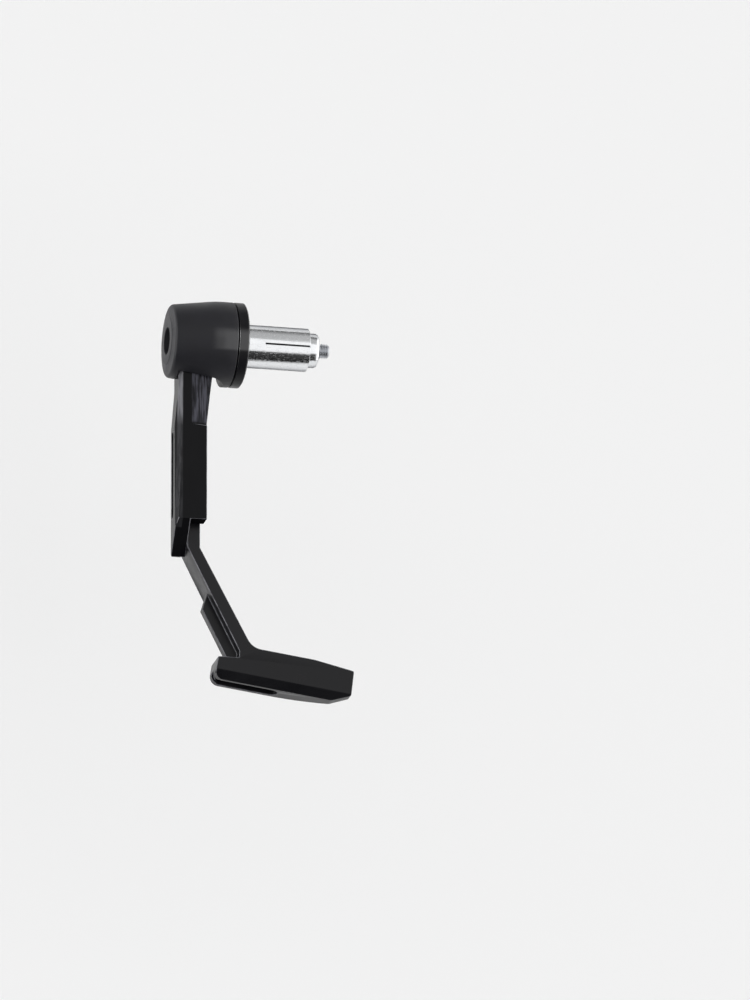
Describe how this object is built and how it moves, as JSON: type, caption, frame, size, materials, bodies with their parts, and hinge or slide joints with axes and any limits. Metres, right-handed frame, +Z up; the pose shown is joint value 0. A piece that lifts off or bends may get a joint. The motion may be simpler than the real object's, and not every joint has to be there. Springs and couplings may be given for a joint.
{
  "type": "brake lever guard",
  "caption": "Guard for a motorcycle brake lever: a split plug clamps in the handlebar end, and a black two-piece arm with a flat blade reaches round the lever's tip.",
  "frame": {"origin": "centre of the face that seats on the end of the handlebar, on the bar's axis", "axes": "+X along the bar towards the middle of the bike; +Y towards the rider, so the arm reaches along -Y; +Z up"},
  "size_m": [0.0771, 0.1615, 0.0342],
  "materials": {
    "cap_black": "satin black anodised, turned",
    "arm_black": "semi-gloss black anodised, milled",
    "cast_black": "black coating over a fine cast grain",
    "turned_aluminium": "bright turned",
    "zinc_steel": "bright zinc plate"
  },
  "bodies": {
    "plug": {"expander_sleeve": "turned_aluminium", "cone_nut": "turned_aluminium", "main_bolt": "zinc_steel", "bolt_washer": "zinc_steel", "seat_flange": "cap_black"},
    "cap": {"end_cap": "cap_black"},
    "arm": {"upper_arm": "arm_black", "clamp_screws": "zinc_steel", "clamp_washers": "zinc_steel"},
    "reach": {"lower_arm": "cast_black"}
  },
  "joints": [
    {"name": "cap_turn", "type": "hinge", "parent": "plug", "child": "cap", "pos_m": [-0.0216, 0, 0], "axis": [1, 0, 0], "continuous": true},
    {"name": "arm_swing", "type": "hinge", "parent": "cap", "child": "arm", "pos_m": [-0.0156, 0, 0], "axis": [1, 0, 0], "range_deg": [0, 40]},
    {"name": "reach_slide", "type": "slide", "parent": "arm", "child": "reach", "axis": [0, -1, 0], "range_m": [-0.008, 0.01]}
  ]
}
